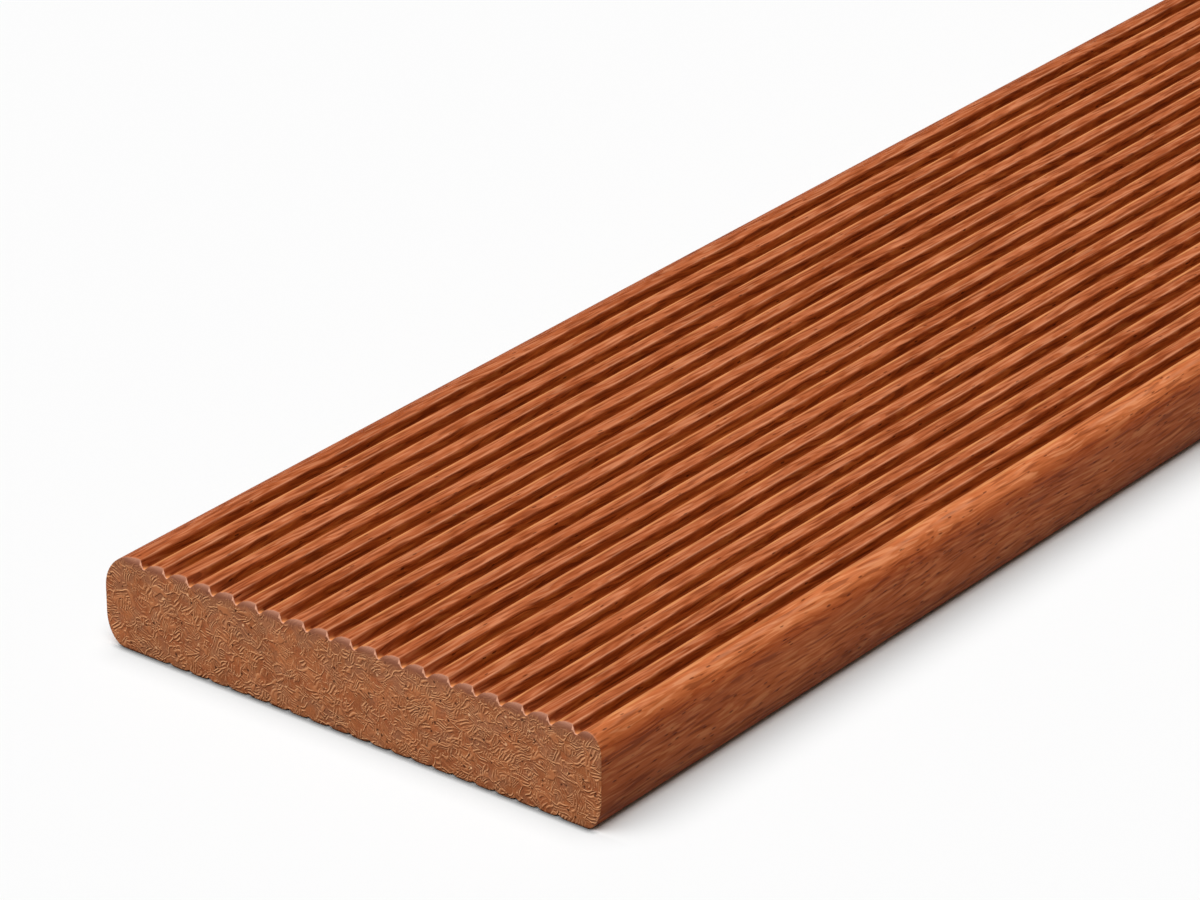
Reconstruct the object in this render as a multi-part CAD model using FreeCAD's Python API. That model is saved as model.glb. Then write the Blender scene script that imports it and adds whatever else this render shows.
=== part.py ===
import FreeCAD, Part
import os

# Sizes in millimetres. The board's width lies along X, its length along Y and its thickness along Z.
# The origin is in the middle of the underside.
board_length = 1800.0
board_width = 145.0
board_thickness = 24.5
long_edge_radius = 5.5

# The long edge beside the wide plain margin is rounded more than the other three.
margin_edge_radius = 10.0

# Ribbed tread face: grooves run the whole length and leave narrow ribs between them. A groove's left wall
# is steep and meets the rib in a crisp corner, and its right wall slopes up to a well rounded one.
# The plain margin on the left is wide, and the last groove lies close to the right long edge.
groove_pitch = 7.0
groove_opening = 4.0
groove_floor = 0.5
steep_wall_run = 0.9
groove_depth = 2.0
groove_left_margin = 11.0
groove_right_margin_least = 3.5
crisp_corner_radius = 0.35
soft_corner_radius = 1.1
groove_corner_radius = 0.4

# Underside: shallow V notches with rounded lips run the whole length.
notch_pitch = 6.0
notch_opening = 2.4
notch_depth = 0.7
notch_lip_radius = 3.0
notch_left_margin = 18.0
notch_right_margin_least = 10.0

# Ends: the outline is eased all round, and the tops of the ribs lean back in a steep bevel.
end_arris = 0.25
end_bevel_height = 1.5
end_bevel_run = 0.4

# Height by which a cutter stands out of the wood.
cutter_overrun = 5.0

# A flat face counts as sloping when both parts of its normal are larger than this.
least_slope = 0.01


def at_near_end(x, z):
    return FreeCAD.Vector(x, -board_length / 2, z)


def line(start, end):
    return Part.LineSegment(at_near_end(*start), at_near_end(*end)).toShape()


def corner_arc(start, centre, end):
    """A quarter circle about this centre, through the point halfway round."""
    radius = at_near_end(*start).distanceToPoint(at_near_end(*centre))
    middle_of_chord = (at_near_end(*start) + at_near_end(*end)) / 2
    outwards = (middle_of_chord - at_near_end(*centre)).normalize()
    halfway = at_near_end(*centre) + outwards * radius
    return Part.Arc(at_near_end(*start), halfway, at_near_end(*end)).toShape()


def blank_section():
    """The planed board's section before the cuts: a rectangle with its four corners rounded."""
    side = board_width / 2
    inner_side = side - long_edge_radius
    inner_margin = side - margin_edge_radius
    low = long_edge_radius
    high = board_thickness - long_edge_radius
    high_margin = board_thickness - margin_edge_radius
    edges = [
        line((-inner_side, 0), (inner_side, 0)),
        corner_arc((inner_side, 0), (inner_side, low), (side, low)),
        line((side, low), (side, high)),
        corner_arc((side, high), (inner_side, high), (inner_side, board_thickness)),
        line((inner_side, board_thickness), (-inner_margin, board_thickness)),
        corner_arc((-inner_margin, board_thickness), (-inner_margin, high_margin), (-side, high_margin)),
        line((-side, high_margin), (-side, low)),
        corner_arc((-side, low), (-inner_side, low), (-inner_side, 0)),
    ]
    return Part.Face(Part.Wire(edges))


def centre_lines(pitch, opening, left_margin, right_margin_least):
    """Places across the board of as many cuts as its width holds, counted from the left margin."""
    room = board_width - left_margin - right_margin_least - opening
    count = int(room // pitch) + 1
    first = -board_width / 2 + left_margin + opening / 2
    return [first + number * pitch for number in range(count)]


def polygon(points):
    corners = [at_near_end(x, z) for x, z in points]
    return Part.Face(Part.makePolygon(corners + corners[:1]))


def groove_cutter(x):
    """A groove's section, with its sloping walls carried on above the tread face."""
    floor_left = x - groove_opening / 2 + steep_wall_run
    floor_right = floor_left + groove_floor
    gentle_wall_run = groove_opening - groove_floor - steep_wall_run
    growth = (groove_depth + cutter_overrun) / groove_depth
    floor = board_thickness - groove_depth
    top = board_thickness + cutter_overrun
    return polygon([
        (floor_left - steep_wall_run * growth, top),
        (floor_left, floor),
        (floor_right, floor),
        (floor_right + gentle_wall_run * growth, top),
    ])


def notch_cutter(x):
    """A V notch's section, with its walls carried on below the underside."""
    half_bottom = notch_opening / 2 * (notch_depth + cutter_overrun) / notch_depth
    return polygon([(x - half_bottom, -cutter_overrun), (x, notch_depth), (x + half_bottom, -cutter_overrun)])


def board_section():
    """The section with square-cut corners: the blank less its grooves and notches."""
    grooves = centre_lines(groove_pitch, groove_opening, groove_left_margin, groove_right_margin_least)
    notches = centre_lines(notch_pitch, notch_opening, notch_left_margin, notch_right_margin_least)
    cutters = [groove_cutter(x) for x in grooves] + [notch_cutter(x) for x in notches]
    return blank_section().cut(Part.makeCompound(cutters)).Faces[0]


def sloping_walls(board, from_height, to_height):
    """The sloping flat faces whose centres lie between two heights: groove walls or notch walls."""
    def is_wall(face):
        if not isinstance(face.Surface, Part.Plane):
            return False
        slopes = abs(face.Surface.Axis.x) > least_slope and abs(face.Surface.Axis.z) > least_slope
        return slopes and from_height < face.CenterOfMass.z < to_height
    return [face for face in board.Faces if is_wall(face)]


def faces_right(face):
    return face.normalAt(0, 0).x > 0


def faces_left(face):
    return face.normalAt(0, 0).x < 0


def round_walls(board, walls, radius, pick):
    """Rounds the long edge that pick, max or min by height, chooses on each of these walls."""
    def height(edge):
        return edge.CenterOfMass.z
    edges = []
    for wall in walls:
        long_edges = [edge for edge in wall.Edges if edge.Length > board_length / 2]
        edges.append(pick(long_edges, key=height))
    return board.makeFillet(radius, edges)


def round_grooves(board):
    """Crisp corners over the steep walls, soft ones over the gentle walls, and rounded groove floors."""
    middle = board_thickness / 2
    steep = [wall for wall in sloping_walls(board, middle, board_thickness) if faces_right(wall)]
    board = round_walls(board, steep, crisp_corner_radius, max)
    gentle = [wall for wall in sloping_walls(board, middle, board_thickness) if faces_left(wall)]
    board = round_walls(board, gentle, soft_corner_radius, max)
    walls = sloping_walls(board, middle, board_thickness)
    return round_walls(board, walls, groove_corner_radius, min)


def round_notches(board):
    """Rounded lips on both sides of each notch in the underside."""
    return round_walls(board, sloping_walls(board, 0, notch_depth), notch_lip_radius, min)


def ease_outline(board, end):
    """Chamfers the whole outline of the end face that lies at this place along the board."""
    def distance(face):
        return abs(face.CenterOfMass.y - end)
    end_face = min(board.Faces, key=distance)
    return board.makeChamfer(end_arris, end_face.OuterWire.Edges)


def bevel_cutter(end, inwards):
    """A wedge across the board that leans the top of the end back, seen from the side as a triangle."""
    lean = end_bevel_run / end_bevel_height
    foot = board_thickness - end_bevel_height
    outer = end - inwards * cutter_overrun
    high = board_thickness + cutter_overrun
    side = board_width / 2 + cutter_overrun
    corners = [
        FreeCAD.Vector(-side, outer, foot - cutter_overrun / lean),
        FreeCAD.Vector(-side, end + inwards * (end_bevel_height + cutter_overrun) * lean, high),
        FreeCAD.Vector(-side, outer, high),
    ]
    wedge = Part.Face(Part.makePolygon(corners + corners[:1]))
    return wedge.extrude(FreeCAD.Vector(2 * side, 0, 0))


def decking_board():
    """One length of moulded hardwood, with its ribbed tread face up."""
    board = board_section().extrude(FreeCAD.Vector(0, board_length, 0))
    board = round_notches(round_grooves(board))
    for inwards in (1, -1):
        end = -inwards * board_length / 2
        board = ease_outline(board, end).cut(bevel_cutter(end, inwards))
    return board.Solids[0]


os.makedirs("parts", exist_ok=True)
board = decking_board()
board.exportStep("parts/decking_board.step")
box = board.BoundBox
print("decking_board", board.isValid(), len(board.Faces), "faces", round(board.Volume / 1000, 1), "cm3")
print("size", round(box.XLength, 3), round(box.YLength, 3), round(box.ZLength, 3))
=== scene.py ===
import bpy
import math
import numpy as np
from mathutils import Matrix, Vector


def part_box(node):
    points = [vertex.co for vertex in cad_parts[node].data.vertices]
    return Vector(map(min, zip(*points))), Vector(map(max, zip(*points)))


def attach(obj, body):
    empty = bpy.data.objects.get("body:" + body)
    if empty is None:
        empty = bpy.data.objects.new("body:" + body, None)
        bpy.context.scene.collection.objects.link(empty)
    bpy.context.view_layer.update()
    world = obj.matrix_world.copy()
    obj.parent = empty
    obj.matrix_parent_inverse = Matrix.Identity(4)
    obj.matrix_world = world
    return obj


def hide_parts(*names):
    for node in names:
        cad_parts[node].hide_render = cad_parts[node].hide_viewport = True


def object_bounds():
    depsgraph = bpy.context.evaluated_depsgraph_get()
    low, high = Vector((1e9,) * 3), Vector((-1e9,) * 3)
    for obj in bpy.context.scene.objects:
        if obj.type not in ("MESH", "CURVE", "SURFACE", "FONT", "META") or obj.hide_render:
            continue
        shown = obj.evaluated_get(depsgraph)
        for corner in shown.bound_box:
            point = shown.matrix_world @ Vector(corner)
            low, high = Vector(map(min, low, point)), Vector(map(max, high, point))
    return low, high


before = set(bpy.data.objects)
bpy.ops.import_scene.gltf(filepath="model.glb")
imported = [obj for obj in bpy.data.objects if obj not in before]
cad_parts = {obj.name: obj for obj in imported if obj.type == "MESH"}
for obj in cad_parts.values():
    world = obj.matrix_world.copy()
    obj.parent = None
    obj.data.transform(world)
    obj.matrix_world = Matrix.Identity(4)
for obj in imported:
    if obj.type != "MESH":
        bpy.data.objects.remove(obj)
cadLow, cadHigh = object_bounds()
boardLow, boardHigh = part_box("decking_board")
print("frame loaded, size in metres", [round(b - a, 4) for a, b in zip(cadLow, cadHigh)])


# Decking board: the moulded section, carried along the board's length. Sizes in metres.
boardSizes = {
    "longEdgeRadius": 0.0055,
    "lowRightRun": 0.004,         # the two lower long edges are worn to quarter ellipses
    "lowLeftRun": 0.0055,
    "lowRise": 0.008,
    "marginEdgeRadius": 0.010,    # the long edge beside the wide plain margin
    "groovePitch": 0.007,
    "grooveOpening": 0.004,
    "grooveFloor": 0.0005,
    "steepWallRun": 0.0009,
    "grooveDepth": 0.002,
    "grooveLeftMargin": 0.011,
    "grooveRightMarginLeast": 0.0035,
    "crispCornerRadius": 0.00035,
    "softCornerRadius": 0.0044,
    "softLipIn": 0.0004,          # how far the wear of a rib's soft corner has moved it into the groove
    "grooveCornerRadius": 0.0004,
    "notchPitch": 0.006,
    "notchOpening": 0.0024,
    "notchDepth": 0.0007,
    "notchLipRadius": 0.003,
    "notchLeftMargin": 0.018,
    "notchRightMarginLeast": 0.010,
    "endArris": 0.00025,
    "lowArris": 0.0002,           # the same along the underside
    "endBevelHeight": 0.0019,
    "endBevelRun": 0.0004,
    "longestStep": 0.0009,        # between points of the groove's outline
    "grooveWander": 0.00006,      # how far a groove strays sideways from its straight line
    "lipWander": 0.00006,         # how far each of its two lips strays besides
    "ribWear": 0.00007,           # how far a rib's top lies under the tread face
    "stations": 108,              # sections along the board between its ends
    "farFromLip": 0.003,          # distance past which the finish forgets a rib's corners
    "seed": 7,
}
boardWidth = boardHigh.x - boardLow.x
boardLength = boardHigh.y - boardLow.y
boardThickness = boardHigh.z - boardLow.z


def roundedLine(points, radii, steps):
    # An open line whose inner corners become arcs. Each arc starts radius x tan(half the turn) before its
    # corner and turns evenly about a centre one radius to the side.
    points = np.asarray(points, float)
    radii = np.asarray(radii, float)[:, None]
    before = points[1:-1] - points[:-2]
    after = points[2:] - points[1:-1]
    before /= np.linalg.norm(before, axis=1, keepdims=True)
    after /= np.linalg.norm(after, axis=1, keepdims=True)
    cross = before[:, 0] * after[:, 1] - before[:, 1] * after[:, 0]
    turn = np.arctan2(cross, (before * after).sum(1))
    start = points[1:-1] - before * radii * np.tan(np.abs(turn) / 2)[:, None]
    side = np.sign(turn)[:, None] * np.stack([-before[:, 1], before[:, 0]], 1)
    centre = start + side * radii
    angle = turn[:, None] * np.linspace(0, 1, steps)
    arm = -side * radii
    arcX = centre[:, :1] + arm[:, :1] * np.cos(angle) - arm[:, 1:] * np.sin(angle)
    arcZ = centre[:, 1:] + arm[:, :1] * np.sin(angle) + arm[:, 1:] * np.cos(angle)
    arcs = np.stack([arcX, arcZ], 2).reshape(-1, 2)
    return np.concatenate([points[:1], arcs, points[-1:]])


def subdivided(points, longest):
    # Straight runs get even points in between, as many as keep every step at or under the longest.
    steps = np.diff(points, axis=0)
    count = np.maximum(1, np.ceil(np.linalg.norm(steps, axis=1) / longest - 1e-6).astype(int))
    which = np.repeat(np.arange(len(steps)), count)
    inside = np.arange(count.sum()) - np.repeat(np.cumsum(count) - count, count)
    share = (inside / count[which])[:, None]
    return np.concatenate([points[:-1][which] + steps[which] * share, points[-1:]])


def centreLines(pitch, opening, leftMargin, rightMarginLeast):
    # As many cuts as the width holds, one pitch apart, counted from the left margin.
    room = boardWidth - leftMargin - rightMarginLeast - opening
    count = int(room // pitch) + 1
    return -boardWidth / 2 + leftMargin + opening / 2 + pitch * np.arange(count)


def topOfBlank(x):
    # The tread face before the cuts: level, and falling on a quarter circle at each long edge.
    radius = np.where(x < 0, boardSizes["marginEdgeRadius"], boardSizes["longEdgeRadius"])
    past = np.clip(np.abs(x) - (boardWidth / 2 - radius), 0, radius)
    return boardThickness - radius + np.sqrt(radius ** 2 - past ** 2)


def quarterArc(centreX, centreZ, run, rise, first, last, steps):
    # Points on a long edge's quarter ellipse, from one angle to another.
    angle = np.radians(np.linspace(first, last, steps))
    return np.stack([centreX + run * np.cos(angle), centreZ + rise * np.sin(angle)], 1)


def treadLine():
    # The tread face from left to right: offsets across one groove and the rib after it, repeated at each
    # groove. A groove's left wall is steep and its right wall gentle. Depth is measured down from the blank.
    s = boardSizes
    half = s["grooveOpening"] / 2
    reach = s["groovePitch"] / 2
    floorLeft = s["steepWallRun"] - half
    floorRight = floorLeft + s["grooveFloor"]
    deep = s["grooveDepth"]
    groove = roundedLine(
        [(-reach, 0), (-half, 0), (floorLeft, deep), (floorRight, deep), (half - s["softLipIn"], 0), (reach, 0)],
        [s["crispCornerRadius"], s["grooveCornerRadius"], s["grooveCornerRadius"], s["softCornerRadius"]],
        4,
    )[1:-1]
    nextStart = groove[:1] + np.array([s["groovePitch"], 0])
    cell = subdivided(np.concatenate([groove, nextStart]), s["longestStep"])[:-1]
    ribPoints = np.count_nonzero(cell[:, 0] > groove[-1, 0] + 1e-9)
    centres = centreLines(s["groovePitch"], s["grooveOpening"], s["grooveLeftMargin"], s["grooveRightMarginLeast"])
    x = (centres[:, None] + cell[:, 0]).ravel()[:-ribPoints]
    depth = np.tile(cell[:, 1], len(centres))[:-ribPoints]
    number = np.repeat(np.arange(len(centres)), len(cell))[:-ribPoints]
    margin = np.linspace(-boardWidth / 2 + s["marginEdgeRadius"], x[0], 4)[:-1]
    x = np.concatenate([margin, x])
    depth = np.concatenate([np.zeros(len(margin)), depth])
    number = np.concatenate([np.zeros(len(margin), int), number])
    return x, depth, number


def undersideLine():
    # The underside from right to left: V notches with broad rounded lips, one pitch apart.
    s = boardSizes
    half = s["notchOpening"] / 2
    reach = s["notchPitch"] / 2
    notch = roundedLine(
        [(reach, 0), (half, 0), (0, s["notchDepth"]), (-half, 0), (-reach, 0)],
        [s["notchLipRadius"], s["notchLipRadius"] / 20, s["notchLipRadius"]],
        4,
    )[1:-1]
    centres = centreLines(s["notchPitch"], s["notchOpening"], s["notchLeftMargin"], s["notchRightMarginLeast"])
    x = (centres[::-1, None] + notch[:, 0]).ravel()
    return np.stack([x, np.tile(notch[:, 1], len(centres))], 1)


def boardOutline():
    # The whole section, clockwise as seen from the near end, with each point's depth in a groove and the
    # number of the groove it belongs to.
    s = boardSizes
    radius = s["longEdgeRadius"]
    marginRadius = s["marginEdgeRadius"]
    side = boardWidth / 2
    treadX, depth, number = treadLine()
    tread = np.stack([treadX, topOfBlank(treadX) - depth], 1)
    firstAngle = math.degrees(math.acos(min(1, (treadX[-1] - side + radius) / radius)))
    rest = [
        quarterArc(side - radius, boardThickness - radius, radius, radius, firstAngle, 0, 12)[1:],
        quarterArc(side - s["lowRightRun"], s["lowRise"], s["lowRightRun"], s["lowRise"], 0, -90, 12),
        undersideLine(),
        quarterArc(s["lowLeftRun"] - side, s["lowRise"], s["lowLeftRun"], s["lowRise"], -90, -180, 12),
        quarterArc(marginRadius - side, boardThickness - marginRadius, marginRadius, marginRadius, 180, 90, 16)[:-1],
    ]
    outline = np.concatenate([tread] + rest)
    extra = len(outline) - len(tread)
    return outline, np.concatenate([depth, np.zeros(extra)]), np.concatenate([number, np.zeros(extra, int)])


def stationsAlong():
    # Distances from the near end: close together over the arris and the bevel, then ever wider apart, as
    # an even count raised to a power.
    s = boardSizes
    eased = s["lowArris"] * np.array([0, 0.01, 0.04, 0.1, 0.2, 0.32, 0.44, 0.58, 0.72, 0.86, 1])
    run = s["lowArris"] + np.array([0.00007, 0.00014, 0.0002, 0.0008, 0.003])
    start = np.concatenate([eased, run])
    share = np.linspace(0, 1, s["stations"])[1:-1] ** 1.6
    middle = start[-1] + share * (boardLength - 2 * start[-1])
    return np.concatenate([start, middle, boardLength - start[::-1]])


def slowWaves(rows, along, longest, rng):
    # One smooth random line for each row: five sines with falling wavelengths and heights, about -1 to 1.
    number = np.arange(1, 6)
    phase = rng.uniform(0, 2 * math.pi, (rows, 5, 1))
    share = rng.uniform(0.4, 1, (rows, 5, 1)) / number[:, None]
    length = longest / (number[:, None] ** 1.3) * rng.uniform(0.8, 1.2, (rows, 5, 1))
    return (share * np.sin(2 * math.pi * along / length + phase)).sum(1) / 1.4


def bevelTop(fromEnd):
    # The end's bevel leans back on a parabola: run x (1 - depth / height) squared, solved for the height.
    s = boardSizes
    share = np.sqrt(np.clip(fromEnd / s["endBevelRun"], 0, None))
    return boardThickness - s["endBevelHeight"] * (1 - share)


def lipDistances(points, lipX):
    # Distance of each outline point from the nearest of these corners of the tread face, held at the far one.
    apart = np.hypot(points[:, :1] - lipX, points[:, 1:] - boardThickness)
    return np.minimum(apart.min(1), boardSizes["farFromLip"])


def boardMesh():
    # Each station is the outline, drawn in by a quarter circle over the end's arris, held under the bevel,
    # and with its grooves shifted sideways by slow waves.
    s = boardSizes
    rng = np.random.default_rng(s["seed"])
    points, depth, groove = boardOutline()
    ahead = np.roll(points, -1, 0) - points
    behind = points - np.roll(points, 1, 0)
    tangent = ahead / np.linalg.norm(ahead, axis=1, keepdims=True)
    tangent += behind / np.linalg.norm(behind, axis=1, keepdims=True)
    tangent /= np.linalg.norm(tangent, axis=1, keepdims=True)
    normal = np.stack([-tangent[:, 1], tangent[:, 0]], 1)

    along = stationsAlong()
    fromEnd = np.minimum(along, boardLength - along)[:, None]
    arris = np.interp(points[:, 1], [0, s["longEdgeRadius"]], [s["lowArris"], s["endArris"]])
    inset = arris - np.sqrt(arris ** 2 - np.clip(arris - fromEnd, 0, None) ** 2)
    x = points[:, 0] - inset * normal[:, 0]
    z = points[:, 1] - inset * normal[:, 1]

    # A groove and each of its lips stray sideways by slow waves, and the ribs' tops are worn a little.
    half = s["grooveOpening"] / 2
    reach = s["groovePitch"] / 2
    centres = centreLines(s["groovePitch"], s["grooveOpening"], s["grooveLeftMargin"], s["grooveRightMarginLeast"])
    onTread = points[:, 1] > boardThickness - s["grooveDepth"] - s["endArris"]
    offset = np.where(onTread, points[:, 0] - centres[groove], reach)
    wander, leftLip, rightLip, worn = (
        slowWaves(len(centres), along, longest, rng)[groove].T for longest in (0.16, 0.045, 0.06, 0.25))
    nearGroove = np.clip((reach - np.abs(offset)) / (reach - half), 0, 1)
    nearLeft = np.clip(1 - np.abs(offset + half) / (reach - half), 0, 1)
    nearRight = np.clip(1 - np.abs(offset - half) / (reach - half), 0, 1)
    x = x + wander * nearGroove * s["grooveWander"]
    x = x + (leftLip * nearLeft + rightLip * nearRight) * s["lipWander"]
    z = z - s["ribWear"] * nearGroove * np.clip(0.5 + 0.5 * worn, 0, 1)
    cut = z > bevelTop(fromEnd)
    z = np.minimum(z, bevelTop(fromEnd))

    y = np.broadcast_to(boardLow.y + along[:, None], x.shape)
    vertices = np.stack([x, y, z], 2).reshape(-1, 3)

    around = len(points)
    column = np.arange(around)
    row = np.arange(len(along) - 1)[:, None] * around
    nextColumn = (column + 1) % around
    quads = np.stack([row + column, row + nextColumn, row + around + nextColumn, row + around + column], 2)
    quads = quads.reshape(-1, 4)
    lastRow = (len(along) - 1) * around
    caps = [column[::-1].tolist(), (column + lastRow).tolist()]

    mesh = bpy.data.meshes.new("ribbedBoard")
    mesh.from_pydata(vertices.tolist(), [], quads.tolist() + caps)
    mesh.polygons.foreach_set("use_smooth", np.r_[np.ones(len(quads), bool), False, False])

    # End grain shows on the caps, the arris and the bevel.
    middle = np.repeat((fromEnd[:-1, 0] + fromEnd[1:, 0]) / 2, around)
    bevelled = (cut[:-1] | cut[1:]).ravel() & (middle < s["endBevelRun"])
    isEnd = (middle < np.tile(arris, len(along) - 1)) | bevelled
    mesh.polygons.foreach_set("material_index", np.r_[isEnd.astype(np.int32), 1, 1])

    # The finish reads the depth in a groove, 0 to 1, and how far a rib's two corners are, in metres.
    for name, values in (
        ("grooveDepth", depth / s["grooveDepth"]),
        ("fromCrispCorner", lipDistances(points, centres - half)),
        ("fromSoftCorner", lipDistances(points, centres + half - s["softLipIn"])),
    ):
        everywhere = np.broadcast_to(values, x.shape).ravel().astype(np.float32)
        mesh.attributes.new(name, "FLOAT", "POINT").data.foreach_set("value", everywhere)
    mesh.update()
    mesh.set_sharp_from_angle(angle=math.radians(32))
    mesh.validate()
    print("ribbed board:", len(vertices), "points,", 2 * len(quads) + 2 * around, "triangles")
    return mesh


def newNode(tree, kind, **sockets):
    # A shader node with its fixed values set; a socket's name has its spaces left out.
    node = tree.nodes.new("ShaderNode" + kind)
    for name, value in sockets.items():
        if hasattr(node, name):
            setattr(node, name, value)
            continue
        socket = next(s for s in node.inputs if s.name.replace(" ", "") == name and s.enabled)
        socket.default_value = value
    return node


def newGroup(name, inputs, outputs):
    group = bpy.data.node_groups.new(name, "ShaderNodeTree")
    for kind, label in inputs:
        group.interface.new_socket(label, in_out="INPUT", socket_type=kind)
    for kind, label in outputs:
        group.interface.new_socket(label, in_out="OUTPUT", socket_type=kind)
    return group, group.nodes.new("NodeGroupInput"), group.nodes.new("NodeGroupOutput")


def placedGroup(tree, group, links, values=None):
    # A group placed in a material, with sockets linked or set by name.
    node = tree.nodes.new("ShaderNodeGroup")
    node.node_tree = group
    for name, source in links.items():
        tree.links.new(source, node.inputs[name])
    for name, value in (values or {}).items():
        node.inputs[name].default_value = value
    return node


def mapped(tree, source, stretch, shift=(0, 0, 0)):
    place = newNode(tree, "Mapping", Scale=stretch, Location=shift)
    tree.links.new(source, place.inputs["Vector"])
    return place.outputs["Vector"]


def noiseOf(tree, source, stretch, scale, detail=2.0, roughness=0.5, shift=(0, 0, 0)):
    # Noise whose features are one over the scale in size, and longer along an axis with a small stretch.
    noise = newNode(tree, "TexNoise", Scale=scale, Detail=detail, Roughness=roughness)
    tree.links.new(mapped(tree, source, stretch, shift), noise.inputs["Vector"])
    return noise.outputs["Fac"]


def noiseColour(tree, source, stretch, scale, detail):
    noise = newNode(tree, "TexNoise", Scale=scale, Detail=detail, Roughness=0.5)
    tree.links.new(mapped(tree, source, stretch), noise.inputs["Vector"])
    return noise.outputs["Color"]


def cells(tree, source, stretch, scale, feature, shift=(0, 0, 0)):
    node = newNode(tree, "TexVoronoi", feature=feature, Scale=scale)
    tree.links.new(mapped(tree, source, stretch, shift), node.inputs["Vector"])
    return node


def remap(tree, source, low, high, newLow=0.0, newHigh=1.0):
    # Straight-line change of range, held at both ends.
    node = newNode(tree, "MapRange")
    for label, value in (("From Min", low), ("From Max", high), ("To Min", newLow), ("To Max", newHigh)):
        node.inputs[label].default_value = value
    tree.links.new(source, node.inputs["Value"])
    return node.outputs["Result"]


def maths(tree, operation, first, second=0.0):
    node = tree.nodes.new("ShaderNodeMath")
    node.operation = operation
    for socket, value in zip(node.inputs, (first, second)):
        if isinstance(value, (int, float)):
            socket.default_value = value
        else:
            tree.links.new(value, socket)
    return node.outputs[0]


def blendColour(tree, amount, first, second, kind="MIX"):
    node = tree.nodes.new("ShaderNodeMix")
    node.data_type = "RGBA"
    node.blend_type = kind
    sockets = [s for s in node.inputs if s.enabled and s.type in ("VALUE", "RGBA")]
    for socket, value in zip(sockets, (amount, first, second)):
        if isinstance(value, (int, float, tuple)):
            socket.default_value = value
        else:
            tree.links.new(value, socket)
    return next(s for s in node.outputs if s.enabled)


def colourRamp(tree, amount, stops):
    node = newNode(tree, "ValToRGB")
    elements = node.color_ramp.elements
    while len(elements) < len(stops):
        elements.new(0.5)
    for element, (position, colour) in zip(elements, stops):
        element.position = position
        element.color = colour + (1,)
    tree.links.new(amount, node.inputs["Fac"])
    return node.outputs["Color"]


def greyOf(tree, value):
    node = newNode(tree, "CombineColor")
    for label in ("Red", "Green", "Blue"):
        tree.links.new(value, node.inputs[label])
    return node.outputs["Color"]


def redOf(tree, colour):
    node = newNode(tree, "SeparateColor")
    tree.links.new(colour, node.inputs["Color"])
    return node.outputs["Red"]


def pushedBy(tree, source, colour, amount, middle=0.5):
    # The source moved by a colour about a middle value, times an amount in metres.
    centred = newNode(tree, "VectorMath", operation="SUBTRACT")
    centred.inputs[1].default_value = (middle, middle, middle)
    tree.links.new(colour, centred.inputs[0])
    scaled = newNode(tree, "VectorMath", operation="SCALE")
    tree.links.new(centred.outputs[0], scaled.inputs[0])
    if isinstance(amount, float):
        scaled.inputs["Scale"].default_value = amount
    else:
        tree.links.new(amount, scaled.inputs["Scale"])
    moved = newNode(tree, "VectorMath", operation="ADD")
    tree.links.new(source, moved.inputs[0])
    tree.links.new(scaled.outputs[0], moved.inputs[1])
    return moved.outputs[0]


def newMaterial(name):
    material = bpy.data.materials.new(name)
    material.use_nodes = True
    tree = material.node_tree
    return material, tree, tree.nodes["Principled BSDF"]


# Finish of the planed faces, as the colours that the streaks run through, and of their edges, with painted light,
# highlights and shade.
faceFinish = {
    "tones": [(0.0, (0.31, 0.068, 0.018)), (0.25, (0.42, 0.101, 0.030)), (0.5, (0.50, 0.132, 0.045)),
              (0.75, (0.57, 0.162, 0.061)), (1.0, (0.67, 0.222, 0.096))],
    "darkLine": (0.20, 0.038, 0.010, 1),
    "pore": (0.11, 0.020, 0.006, 1),
    # painted shade in the groove walls and on the groove floors
    "wallTint": (0.56, 0.38, 0.14, 1),
    "floorTint": (0.74, 0.66, 0.60, 1),
    # painted shade on the sides, darker and browner towards the bottom
    "sideShade": [(0.10, (1, 1, 1)), (0.167, (0.97, 0.78, 0.52)), (0.237, (0.83, 0.64, 0.36)),
                  (0.33, (0.80, 0.72, 0.54)), (0.58, (0.80, 0.73, 0.53)), (0.72, (0.66, 0.60, 0.47)),
                  (0.80, (0.55, 0.49, 0.34)), (0.88, (0.48, 0.40, 0.25)), (0.96, (0.54, 0.42, 0.26))],
    # painted light on the right long edge's rounding, a multiplier over one
    "sideGlow": (1.38, 1.48, 1.42, 1),
    "paleLine": (0.84, 0.36, 0.18, 1),
    # painted highlight on corners and edges
    "paleCorner": (0.80, 0.35, 0.19, 1),
    # painted light in bright orange on lit corners and on groove floors near the end
    "brightCorner": (0.86, 0.36, 0.13, 1),
    # painted shade on the left margin towards its long edge
    "leftShade": (0.81, 0.73, 0.59, 1),
    "endShade": (0.80, 0.78, 0.76, 1),
    "thrown": (0.42, 0.24, 0.15, 1),    # what the lowest wood throws on the floor
    "calm": 0.5,             # share of the streaks' contrast that the two margins and the sides lose
    "slant": 0.045,          # radians that the grain turns away from the board's length
    "bend": 0.006,           # metres that slow waves push the streaks sideways
    "ripple": 0.0009,        # the same for short waves
    "roughness": 0.52,
    "specular": 0.05,
}
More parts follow.
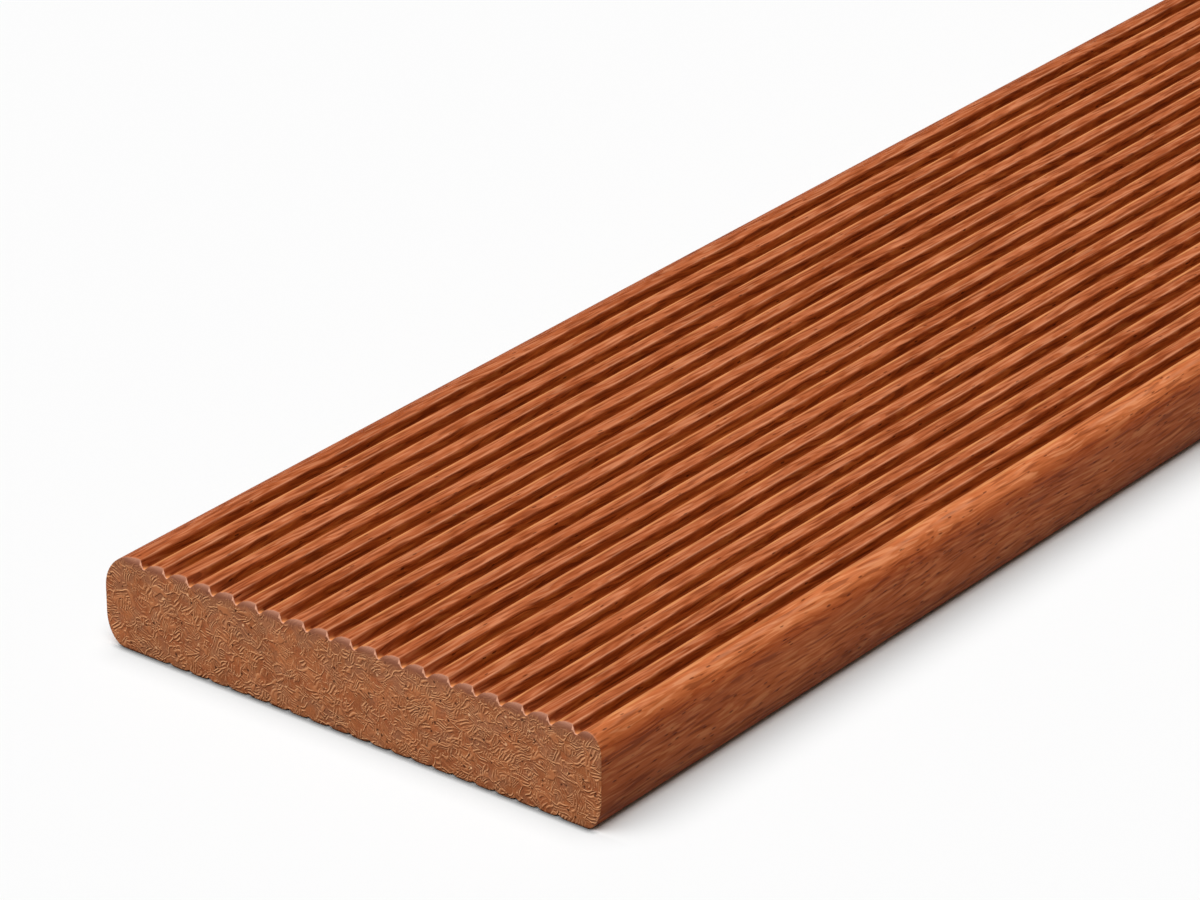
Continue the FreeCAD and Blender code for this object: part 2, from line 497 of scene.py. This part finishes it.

# Finish of the sawn ends: a matte ground, curled strands that stand out of it with painted light and shade on their
# two sides, pores, and an eased band painted with a highlight that darkens into shade.
endFinish = {
    "ground": (0.375, 0.123, 0.044, 1),
    "redGround": (0.31, 0.088, 0.031, 1),
    "strand": (0.455, 0.163, 0.063, 1),
    "litSide": (0.86, 0.43, 0.205, 1),
    "shadedSide": (0.085, 0.021, 0.008, 1),
    "pore": (0.05, 0.012, 0.005, 1),
    "spot": (0.78, 0.42, 0.22, 1),
    # painted highlight at the band's top, darkening into painted shade below
    "band": [(0.0, (0.53, 0.250, 0.172)), (0.10, (0.45, 0.205, 0.136)), (0.26, (0.35, 0.148, 0.094)),
             (0.42, (0.27, 0.104, 0.062)), (0.62, (0.23, 0.080, 0.044)), (1.0, (0.24, 0.082, 0.042))],
    "bandHeight": 0.0026,
    # painted highlight on the walls' eased ends
    "wallEdge": (0.84, 0.42, 0.27, 1),
    # painted contact shade along the lowest edge
    "dirt": (0.34, 0.28, 0.26, 1),     # multiplies the lowest edge
    "thrown": (0.14, 0.12, 0.11, 1),   # what the lowest wood throws on the floor
    "strandHalfWidth": 0.00024,
    "strandPitch": 0.00095,  # metres between the strands of a bundle
    "longScale": 230.0,
    "patchScale": 340.0,
    "finePitch": 0.00066,    # the same for the fine bundles
    "finePatchScale": 210.0,
    "fineHeight": 0.72,
    "greyGround": (0.29, 0.122, 0.063, 1),
    "embossStep": 0.00020,   # metres between a strand's lit side and its shaded side
    "roughness": 0.7,
    "specular": 0.05,
}


def wavyGroup():
    # Object coordinates pushed sideways by slow and by short waves, so that streaks flow and bend.
    group, given, out = newGroup(
        "wavyGrain",
        [("NodeSocketFloat", "Bend"), ("NodeSocketFloat", "Ripple")],
        [("NodeSocketVector", "Vector")],
    )
    slant = newNode(group, "Mapping", Rotation=(0, 0, faceFinish["slant"]))
    group.links.new(newNode(group, "TexCoord").outputs["Object"], slant.inputs["Vector"])
    place = slant.outputs["Vector"]
    slow = noiseColour(group, place, (1.0, 0.28, 1.0), 55.0, 1.0)
    moved = pushedBy(group, place, slow, given.outputs["Bend"])
    short = noiseColour(group, place, (1.0, 0.34, 1.0), 260.0, 1.0)
    moved = pushedBy(group, moved, short, given.outputs["Ripple"])
    group.links.new(moved, out.inputs["Vector"])
    return group


def toneGroup():
    # Broad patches, a few centimetres long, that darken and redden a colour or leave it as it is.
    group, given, out = newGroup(
        "broadTone",
        [("NodeSocketColor", "Color"), ("NodeSocketFloat", "Amount")],
        [("NodeSocketColor", "Color")],
    )
    place = newNode(group, "TexCoord").outputs["Object"]
    patches = noiseOf(group, place, (1.0, 0.22, 1.0), 110.0, 2.0, 0.5, (0.3, 0.1, 0.7))
    amount = maths(group, "MULTIPLY", remap(group, patches, 0.42, 0.64), given.outputs["Amount"])
    toned = blendColour(group, amount, given.outputs["Color"], (0.76, 0.64, 0.56, 1), "MULTIPLY")
    group.links.new(toned, out.inputs["Color"])
    return group


def bundles(group, given, scale, pitch, push, shift):
    # In each random cell lies a bundle of strands side by side, across a direction of its own:
    # x cos(a) + z sin(a), in cycles. Each strand has a height of its own.
    flat = (1.0, 0.0, 1.0)
    bent = pushedBy(group, given, noiseColour(group, given, flat, 300.0, 0.0), 0.0036)
    bundle = cells(group, bent, flat, scale, "F1", shift)
    chance = newNode(group, "SeparateColor")
    group.links.new(bundle.outputs["Color"], chance.inputs["Color"])
    angle = maths(group, "MULTIPLY", chance.outputs["Red"], 2 * math.pi)
    wriggled = pushedBy(group, given, noiseColour(group, given, flat, 330.0, 0.0), push)
    axes = newNode(group, "SeparateXYZ")
    group.links.new(wriggled, axes.inputs["Vector"])
    across = maths(group, "ADD", maths(group, "MULTIPLY", axes.outputs["X"], maths(group, "COSINE", angle)),
                   maths(group, "MULTIPLY", axes.outputs["Z"], maths(group, "SINE", angle)))
    cycle = maths(group, "ADD", maths(group, "DIVIDE", across, pitch), chance.outputs["Green"])
    ridge = maths(group, "ABSOLUTE", maths(group, "SUBTRACT", maths(group, "FRACT", cycle), 0.5))
    single = newNode(group, "TexWhiteNoise", noise_dimensions="1D")
    number = maths(group, "ADD", maths(group, "FLOOR", cycle), maths(group, "MULTIPLY", chance.outputs["Red"], 91.0))
    group.links.new(number, single.inputs["W"])
    own = remap(group, single.outputs["Value"], 0.2, 0.6, 0.15, 1.0)
    return maths(group, "MULTIPLY", remap(group, ridge, 0.12, 0.42), own), chance.outputs["Blue"]


def strandGroup():
    # Height of the curled strands on a sawn end, 0 to 1, and a tone for each bundle of them. Coarse and fine
    # bundles cross, longer strands follow the borders of other cells, and slow masks break all of them.
    group, given, out = newGroup(
        "curledStrands",
        [("NodeSocketVector", "Vector")],
        [("NodeSocketFloat", "Height"), ("NodeSocketFloat", "Patch")],
    )
    given = given.outputs["Vector"]
    flat = (1.0, 0.0, 1.0)
    ridge, patch = bundles(group, given, endFinish["patchScale"], endFinish["strandPitch"], 0.0024, (0, 0, 0))
    ridge = maths(group, "MULTIPLY", ridge, remap(group, noiseOf(group, given, flat, 420.0, 0.0), 0.36, 0.47, 0.15, 1.0))
    fine, tone = bundles(group, given, endFinish["finePatchScale"], endFinish["finePitch"], 0.0032, (0.2, 0, 0.5))
    strength = remap(group, noiseOf(group, given, flat, 250.0, 0.0, 0.5, (0.9, 0, 0.4)), 0.40, 0.56, 0.25, 1.0)
    fine = maths(group, "MULTIPLY", fine, maths(group, "MULTIPLY", strength, endFinish["fineHeight"]))
    other = pushedBy(group, given, noiseColour(group, given, flat, 300.0, 0.0), 0.0050)
    longScale = endFinish["longScale"]
    border = cells(group, other, flat, longScale, "DISTANCE_TO_EDGE", (0.3, 0, 0.8)).outputs["Distance"]
    half = endFinish["strandHalfWidth"] * longScale
    edges = remap(group, border, half * 1.25, half * 0.25)
    edges = maths(group, "MULTIPLY", edges,
                  remap(group, noiseOf(group, given, flat, 340.0, 0.0, 0.5, (0.7, 0, 0.2)), 0.44, 0.50))
    group.links.new(maths(group, "MAXIMUM", maths(group, "MAXIMUM", ridge, edges), fine), out.inputs["Height"])
    group.links.new(tone, out.inputs["Patch"])
    return group


def endDistances(tree, place):
    # Distance back from the nearer end, and distance down from the tread face.
    axes = newNode(tree, "SeparateXYZ")
    tree.links.new(place, axes.inputs["Vector"])
    fromEnd = maths(tree, "SUBTRACT", boardLength / 2, maths(tree, "ABSOLUTE", axes.outputs["Y"]))
    return fromEnd, maths(tree, "SUBTRACT", boardThickness, axes.outputs["Z"]), axes.outputs["X"]


def shadowKept(tree, colour, under, lowestThrown):
    # Light that the board's sides and ends throw on the floor is grey, so that a white floor keeps a grey
    # shadow. Inside a groove it keeps the wood's colour.
    path = newNode(tree, "LightPath")
    low = maths(tree, "GREATER_THAN", under, 0.0035)
    lowest = maths(tree, "GREATER_THAN", under, boardThickness - 0.004)
    thrown = blendColour(tree, lowest, (0.15, 0.115, 0.10, 1), lowestThrown)
    return blendColour(tree, maths(tree, "MULTIPLY", path.outputs["Is Diffuse Ray"], low), colour, thrown)


def faceMaterial(wavy, broadTone):
    f = faceFinish
    material, tree, shader = newMaterial("planedHardwood")
    place = newNode(tree, "TexCoord").outputs["Object"]
    source = placedGroup(tree, wavy, {}, {"Bend": f["bend"], "Ripple": f["ripple"]}).outputs["Vector"]
    streaks = noiseOf(tree, source, (1, 0.10, 1), 900.0, 2.0, 0.62)
    fibres = noiseOf(tree, source, (1, 0.085, 1), 1500.0, 1.0, 0.6)
    lines = noiseOf(tree, source, (1, 0.06, 1), 1500.0, 0.0, 0.5, (0.5, 0.5, 0.5))
    wide = noiseOf(tree, source, (1, 0.14, 1), 230.0, 2.0, 0.5, (0.2, 0.4, 0.6))

    tone = maths(tree, "MULTIPLY", remap(tree, streaks, 0.30, 0.70), 0.36)
    tone = maths(tree, "ADD", tone, maths(tree, "MULTIPLY", remap(tree, wide, 0.30, 0.70), 0.26))
    tone = maths(tree, "ADD", tone, maths(tree, "MULTIPLY", remap(tree, fibres, 0.28, 0.72), 0.38))
    fromEnd, under, across = endDistances(tree, place)
    outwards = maths(tree, "ABSOLUTE", across)
    sideways = remap(tree, outwards, boardWidth / 2 - 0.0045, boardWidth / 2 - 0.0015)
    finer = maths(tree, "MULTIPLY", maths(tree, "SUBTRACT", fibres, streaks), 0.45)
    tone = maths(tree, "ADD", tone, maths(tree, "MULTIPLY", sideways, finer))
    calm = remap(tree, outwards, boardWidth / 2 - 0.0080, boardWidth / 2 - 0.0040, 0.0, f["calm"])
    tone = maths(tree, "ADD", tone, maths(tree, "MULTIPLY", calm, maths(tree, "SUBTRACT", 0.51, tone)))
    colour = colourRamp(tree, remap(tree, tone, 0.22, 0.80), f["tones"])
    colour = placedGroup(tree, broadTone, {"Color": colour}, {"Amount": 0.55}).outputs["Color"]
    thinLine = remap(tree, lines, 0.40, 0.31)
    lineStrength = remap(tree, sideways, 0.0, 1.0, 0.5, 0.6)
    colour = blendColour(tree, maths(tree, "MULTIPLY", thinLine, lineStrength), colour, f["darkLine"])
    colour = blendColour(tree, remap(tree, lines, 0.61, 0.70, 0.0, 0.30), colour, f["paleLine"])
    spots = cells(tree, source, (1, 0.25, 1), 900.0, "F1")
    chance = maths(tree, "ADD", redOf(tree, spots.outputs["Color"]), maths(tree, "MULTIPLY", sideways, 0.45))
    poreMask = maths(tree, "MULTIPLY", remap(tree, spots.outputs["Distance"], 0.22, 0.12),
                     remap(tree, chance, 0.84, 0.88))
    colour = blendColour(tree, maths(tree, "MULTIPLY", poreMask, 0.75), colour, f["pore"])

    # Painted shade: groove walls are dark from just under the lip, less so near the end, and groove floors are darker
    # still.
    depth = newNode(tree, "Attribute", attribute_name="grooveDepth").outputs["Fac"]
    crisp = newNode(tree, "Attribute", attribute_name="fromCrispCorner").outputs["Fac"]
    soft = newNode(tree, "Attribute", attribute_name="fromSoftCorner").outputs["Fac"]
    inWall = maths(tree, "MULTIPLY", remap(tree, depth, 0.02, 0.30), remap(tree, fromEnd, 0.0005, 0.009, 0.5, 1.0))
    inWall = maths(tree, "MULTIPLY", inWall, remap(tree, soft, 0.0012, 0.0022))
    colour = blendColour(tree, inWall, colour, f["wallTint"], "MULTIPLY")
    colour = blendColour(tree, remap(tree, depth, 0.65, 0.92), colour, f["floorTint"], "MULTIPLY")
    # Painted shade: the two sides are darker and browner towards the bottom.
    shade = colourRamp(tree, maths(tree, "DIVIDE", under, boardThickness), f["sideShade"])
    colour = blendColour(tree, sideways, colour, shade, "MULTIPLY")
    # The sides are darker within five centimetres of the sawn end.
    nearEnd = maths(tree, "MULTIPLY", remap(tree, fromEnd, 0.05, 0.0, 0.0, 0.8), sideways)
    colour = blendColour(tree, nearEnd, colour, f["endShade"], "MULTIPLY")
    # Painted light: the rounding of the right long edge is brightened.
    paintedEdgeLight = maths(tree, "MULTIPLY", remap(tree, across, boardWidth / 2 - 0.0050, boardWidth / 2 - 0.0030),
                 remap(tree, under, 0.0040, 0.0026))
    colour = blendColour(tree, paintedEdgeLight, colour, f["sideGlow"], "MULTIPLY")
    # Painted shade: the left margin is darker towards its long edge.
    leftwards = remap(tree, across, 0.009 - boardWidth / 2, 0.003 - boardWidth / 2)
    colour = blendColour(tree, leftwards, colour, f["leftShade"], "MULTIPLY")

    # A rib's right corner carries a painted highlight, its left one painted light in bright orange, and both fade in
    # and out along the board. So does a painted highlight along the crest of the right long edge.
    patchy = remap(tree, noiseOf(tree, place, (1, 0.16, 1), 420.0, 2.0), 0.40, 0.60, 0.06, 0.80)
    onTop = remap(tree, depth, 0.16, 0.04)
    pale = maths(tree, "MULTIPLY", remap(tree, crisp, 0.00045, 0.00010), maths(tree, "MULTIPLY", patchy, onTop))
    colour = blendColour(tree, maths(tree, "MULTIPLY", pale, 0.75), colour, f["paleCorner"])
    bright = maths(tree, "MULTIPLY", remap(tree, depth, 0.04, 0.15), remap(tree, depth, 0.62, 0.46))
    bright = maths(tree, "MULTIPLY", bright, remap(tree, soft, 0.0024, 0.0018))
    bright = maths(tree, "MULTIPLY", bright, remap(tree, patchy, 0.0, 0.8, 0.12, 0.80))
    colour = blendColour(tree, bright, colour, f["brightCorner"])
    crest = remap(tree, maths(tree, "ABSOLUTE", maths(tree, "SUBTRACT", under, 0.0010)), 0.0004, 0.0001)
    crest = maths(tree, "MULTIPLY", crest, remap(tree, across, boardWidth / 2 - 0.0036, boardWidth / 2 - 0.0028))
    crest = maths(tree, "MULTIPLY", crest, maths(tree, "MULTIPLY", patchy, 0.45))
    colour = blendColour(tree, crest, colour, f["paleCorner"])

    # Close to the sawn end the faces carry a painted highlight, and a groove's floor carries painted light.
    sawnEdgeHighlight = maths(tree, "MULTIPLY", remap(tree, fromEnd, 0.0009, 0.0004, 0.0, 0.4), remap(tree, depth, 0.25, 0.0))
    sawnEdgeHighlight = maths(tree, "MULTIPLY", sawnEdgeHighlight, remap(tree, under, 0.0025, 0.0012))
    colour = blendColour(tree, sawnEdgeHighlight, colour, f["paleCorner"])
    floorEndLight = maths(tree, "MULTIPLY", remap(tree, depth, 0.6, 0.95), remap(tree, fromEnd, 0.0022, 0.0005, 0.0, 0.9))
    colour = blendColour(tree, floorEndLight, colour, f["brightCorner"])
    tree.links.new(shadowKept(tree, colour, under, f["thrown"]), shader.inputs["Base Color"])

    rough = maths(tree, "ADD", remap(tree, fibres, 0.3, 0.7, 0.10, -0.05), f["roughness"])
    tree.links.new(maths(tree, "ADD", rough, remap(tree, depth, 0.05, 0.3, 0.0, 0.3)), shader.inputs["Roughness"])
    shader.inputs["Specular IOR Level"].default_value = f["specular"]
    height = maths(tree, "SUBTRACT", maths(tree, "MULTIPLY", streaks, 0.7), maths(tree, "MULTIPLY", thinLine, 0.25))
    height = maths(tree, "SUBTRACT", height, maths(tree, "MULTIPLY", poreMask, 0.5))
    bump = newNode(tree, "Bump", Strength=0.6, Distance=0.0004)
    tree.links.new(height, bump.inputs["Height"])
    tree.links.new(bump.outputs["Normal"], shader.inputs["Normal"])
    return material


def endMaterial(strands, broadTone):
    f = endFinish
    material, tree, shader = newMaterial("sawnEndGrain")
    place = newNode(tree, "TexCoord").outputs["Object"]
    flat = (1.0, 0.0, 1.0)
    here = placedGroup(tree, strands, {"Vector": place})
    step = f["embossStep"]
    beside = placedGroup(tree, strands, {"Vector": mapped(tree, place, (1, 1, 1), (step * 0.5, 0, -step))})
    rise = maths(tree, "SUBTRACT", beside.outputs["Height"], here.outputs["Height"])

    colour = blendColour(tree, remap(tree, noiseOf(tree, place, flat, 190.0, 2.0), 0.38, 0.60),
                         f["redGround"], f["ground"])
    colour = placedGroup(tree, broadTone, {"Color": colour}, {"Amount": 0.3}).outputs["Color"]
    fromEnd, under, across = endDistances(tree, place)
    greyer = maths(tree, "ADD", noiseOf(tree, place, flat, 170.0, 2.0, 0.5, (0.4, 0, 0.1)),
                   remap(tree, under, 0.012, 0.002, 0.0, 0.12))
    colour = blendColour(tree, remap(tree, greyer, 0.50, 0.64, 0.0, 0.6), colour, f["greyGround"])
    grit = remap(tree, noiseOf(tree, place, flat, 2600.0, 2.0, 0.65), 0.33, 0.67, 0.72, 1.24)
    grit = maths(tree, "MULTIPLY", grit, remap(tree, here.outputs["Patch"], 0.0, 1.0, 0.84, 1.14))
    colour = blendColour(tree, 1.0, colour, greyOf(tree, grit), "MULTIPLY")
    colour = blendColour(tree, maths(tree, "MULTIPLY", here.outputs["Height"], 0.75), colour, f["strand"])
    colour = blendColour(tree, remap(tree, rise, 0.08, 0.80, 0.0, 0.85), colour, f["litSide"])
    colour = blendColour(tree, remap(tree, rise, -0.08, -0.75, 0.0, 0.9), colour, f["shadedSide"])
    for scale, shift, size, share, tint in ((420.0, (0.1, 0, 0.3), 0.12, 0.30, f["pore"]),
                                            (300.0, (0.6, 0, 0.9), 0.09, 0.62, f["spot"])):
        spots = cells(tree, place, flat, scale, "F1", shift)
        mask = maths(tree, "MULTIPLY", remap(tree, spots.outputs["Distance"], size * 1.5, size * 0.8),
                     remap(tree, redOf(tree, spots.outputs["Color"]), share, share + 0.03, 0.0, 0.85))
        colour = blendColour(tree, mask, colour, tint)

    # Under the tread face lies an eased band, a painted highlight at the top that darkens downwards into painted
    # shade and fades out unevenly.
    uneven = remap(tree, noiseOf(tree, place, flat, 280.0, 2.0), 0.3, 0.7, -0.0006, 0.0006)
    down = maths(tree, "DIVIDE", maths(tree, "ADD", under, uneven), f["bandHeight"])
    band = colourRamp(tree, maths(tree, "DIVIDE", under, f["bandHeight"]), f["band"])
    colour = blendColour(tree, remap(tree, down, 1.15, 0.50, 0.0, 0.88), colour, band)

    # Painted highlights on the walls' eased ends, and painted shade along the lowest edge.
    depth = newNode(tree, "Attribute", attribute_name="grooveDepth").outputs["Fac"]
    eased = remap(tree, fromEnd, 0.00002, 0.00006, 0.0, 0.85)
    crisp = newNode(tree, "Attribute", attribute_name="fromCrispCorner").outputs["Fac"]
    soft = newNode(tree, "Attribute", attribute_name="fromSoftCorner").outputs["Fac"]
    steepSide = remap(tree, maths(tree, "SUBTRACT", soft, crisp), 0.0001, 0.0006)
    wallEdge = maths(tree, "MULTIPLY", maths(tree, "MULTIPLY", eased, steepSide), remap(tree, depth, 0.02, 0.10))
    colour = blendColour(tree, wallEdge, colour, f["wallEdge"])
    low = remap(tree, under, boardThickness - 0.0006, boardThickness - 0.0001)
    colour = blendColour(tree, low, colour, f["dirt"], "MULTIPLY")
    tree.links.new(shadowKept(tree, colour, under, f["thrown"]), shader.inputs["Base Color"])

    shader.inputs["Roughness"].default_value = f["roughness"]
    shader.inputs["Specular IOR Level"].default_value = f["specular"]
    bump = newNode(tree, "Bump", Strength=0.7, Distance=0.00025)
    plain = remap(tree, down, 0.6, 1.15)
    tree.links.new(maths(tree, "MULTIPLY", here.outputs["Height"], plain), bump.inputs["Height"])
    tree.links.new(bump.outputs["Normal"], shader.inputs["Normal"])
    return material


wavyGrain = wavyGroup()
broadTone = toneGroup()
board = bpy.data.objects.new("ribbedBoard", boardMesh())
bpy.context.scene.collection.objects.link(board)
board.data.materials.append(faceMaterial(wavyGrain, broadTone))
board.data.materials.append(endMaterial(strandGroup(), broadTone))
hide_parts("decking_board")
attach(board, "root")
print("finish laid on the board")


# Floor, light and camera.
stageValues = {
    "floorHalf": 60.0,
    "floorColour": 0.95,
    # painted contact shadow on the floor
    "contact": [(0.0007, 0.0, 2.2), (0.0020, 0.03, 2.0), (0.010, 0.0, 0.35)],    # reach in metres, power beside, power in front
    "skyStrength": 0.06,
    "sunStrength": 3.29,
    "sunHeight": 68.0,        # degrees above the floor, in front of the near end
    "sunLeft": 3.5,           # degrees that it stands to the left of straight overhead
    "sunSpread": 62.0,        # degrees across, as of a wide lamp overhead
    "cameraTurn": 38.000,     # degrees the view turns left from straight along the board
    "cameraFall": 26.174,     # degrees the view points down
    "cameraPlace": (0.73345, -0.84620, 0.62097),    # metres from the middle of the near end's lower edge
    "lens": 170.46,
    "sensorWidth": 36.0,
}


def floorMaterial():
    # Painted contact shadow: close to the board the floor's colour darkens by how much of its surroundings is hidden,
    # raised to a power. In front of an end the powers are higher than beside the board, where the lamp's own shadow
    # falls.
    material, tree, shader = newMaterial("paleFloor")
    axes = newNode(tree, "SeparateXYZ")
    tree.links.new(newNode(tree, "TexCoord").outputs["Object"], axes.inputs["Vector"])
    alongside = maths(tree, "ABSOLUTE", axes.outputs["Y"])
    inside = remap(tree, axes.outputs["X"], -boardWidth / 2 - 0.001, -boardWidth / 2 + 0.006)
    shade = stageValues["floorColour"]
    for reach, besidePower, frontPower in stageValues["contact"]:
        hidden = newNode(tree, "AmbientOcclusion", samples=6)
        hidden.inputs["Distance"].default_value = reach
        power = remap(tree, alongside, boardLength / 2 - 0.0005, boardLength / 2 + 0.0005, besidePower, frontPower)
        power = maths(tree, "MULTIPLY", power, inside)
        shade = maths(tree, "MULTIPLY", maths(tree, "POWER", hidden.outputs["AO"], power), shade)
    tree.links.new(greyOf(tree, shade), shader.inputs["Base Color"])
    shader.inputs["Roughness"].default_value = 1.0
    shader.inputs["Specular IOR Level"].default_value = 0.0
    return material


def buildStage():
    half = stageValues["floorHalf"]
    level = cadLow.z
    mesh = bpy.data.meshes.new("paleFloor")
    mesh.from_pydata([(-half, -half, level), (half, -half, level), (half, half, level), (-half, half, level)],
                     [], [(0, 1, 2, 3)])
    floor = bpy.data.objects.new("paleFloor", mesh)
    bpy.context.scene.collection.objects.link(floor)
    mesh.materials.append(floorMaterial())

    # The sky gives even light; the camera sees it as plain white.
    world = bpy.data.worlds.new("evenSky")
    bpy.context.scene.world = world
    world.use_nodes = True
    tree = world.node_tree
    background = tree.nodes["Background"]
    background.inputs["Color"].default_value = (1, 1, 1, 1)
    path = newNode(tree, "LightPath")
    strength = remap(tree, path.outputs["Is Camera Ray"], 0.0, 1.0, stageValues["skyStrength"], 1.0)
    tree.links.new(strength, background.inputs["Strength"])

    # A wide soft lamp high over the near end, tilted from straight down towards it.
    light = bpy.data.lights.new("softSun", "SUN")
    light.energy = stageValues["sunStrength"]
    light.angle = math.radians(stageValues["sunSpread"])
    sun = bpy.data.objects.new("softSun", light)
    sun.rotation_euler = (math.radians(90 - stageValues["sunHeight"]), -math.radians(stageValues["sunLeft"]), 0)
    bpy.context.scene.collection.objects.link(sun)

    data = bpy.data.cameras.new("photoCamera")
    data.lens = stageValues["lens"]
    data.sensor_width = stageValues["sensorWidth"]
    data.clip_start = 0.05
    data.clip_end = 200
    camera = bpy.data.objects.new("photoCamera", data)
    px, py, pz = stageValues["cameraPlace"]
    camera.location = (px, boardLow.y + py, boardLow.z + pz)
    camera.rotation_euler = (math.radians(90 - stageValues["cameraFall"]), 0, math.radians(stageValues["cameraTurn"]))
    bpy.context.scene.collection.objects.link(camera)
    bpy.context.scene.camera = camera
    bpy.context.scene.view_settings.view_transform = "Standard"


buildStage()
print("floor, light and camera in place")
